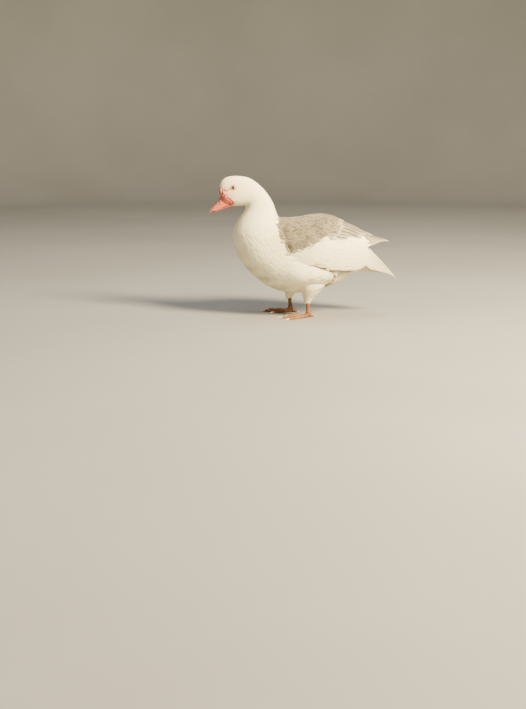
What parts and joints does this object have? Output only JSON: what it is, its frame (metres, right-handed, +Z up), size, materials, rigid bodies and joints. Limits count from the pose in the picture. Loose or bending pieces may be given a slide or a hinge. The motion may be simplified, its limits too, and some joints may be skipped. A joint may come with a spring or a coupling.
{
  "type": "muscovy duck",
  "caption": "Life-size model of a standing white muscovy duck with a grey mantle, red face caruncles, folded wings and webbed feet",
  "frame": {"origin": "on the floor under the middle of the duck's overall box, which the soles touch at z = 0", "axes": "the bill points to -X and the tail to +X, the duck's left side is -Y, +Z is up"},
  "size_m": [0.5057, 0.1968, 0.3735],
  "materials": {
    "white_plumage": "soft white feathers, warm cream in shade, matt",
    "grey_plumage": "grey-brown feathers with pale edges, matt",
    "bill_horn": "pink-red horn, slightly shiny",
    "bare_skin": "warty red skin",
    "eye_brown": "dark brown, wet and shiny",
    "leg_skin": "orange-brown scaly skin",
    "claw_horn": "pale horn"
  },
  "bodies": {
    "root": {"torso": "white_plumage", "neck": "white_plumage", "head": "white_plumage", "bill_upper": "bill_horn", "bill_lower": "bill_horn", "eye_left": "eye_brown", "eye_right": "eye_brown", "wing_left": "white_plumage", "wing_right": "white_plumage", "tail": "white_plumage", "thigh_left": "white_plumage", "thigh_right": "white_plumage", "shank_left": "leg_skin", "shank_right": "leg_skin", "foot_left": "leg_skin", "foot_right": "leg_skin", "claw_left_inner": "claw_horn", "claw_left_middle": "claw_horn", "claw_left_outer": "claw_horn", "claw_left_hind": "claw_horn", "claw_right_inner": "claw_horn", "claw_right_middle": "claw_horn", "claw_right_outer": "claw_horn", "claw_right_hind": "claw_horn"}
  },
  "joints": []
}
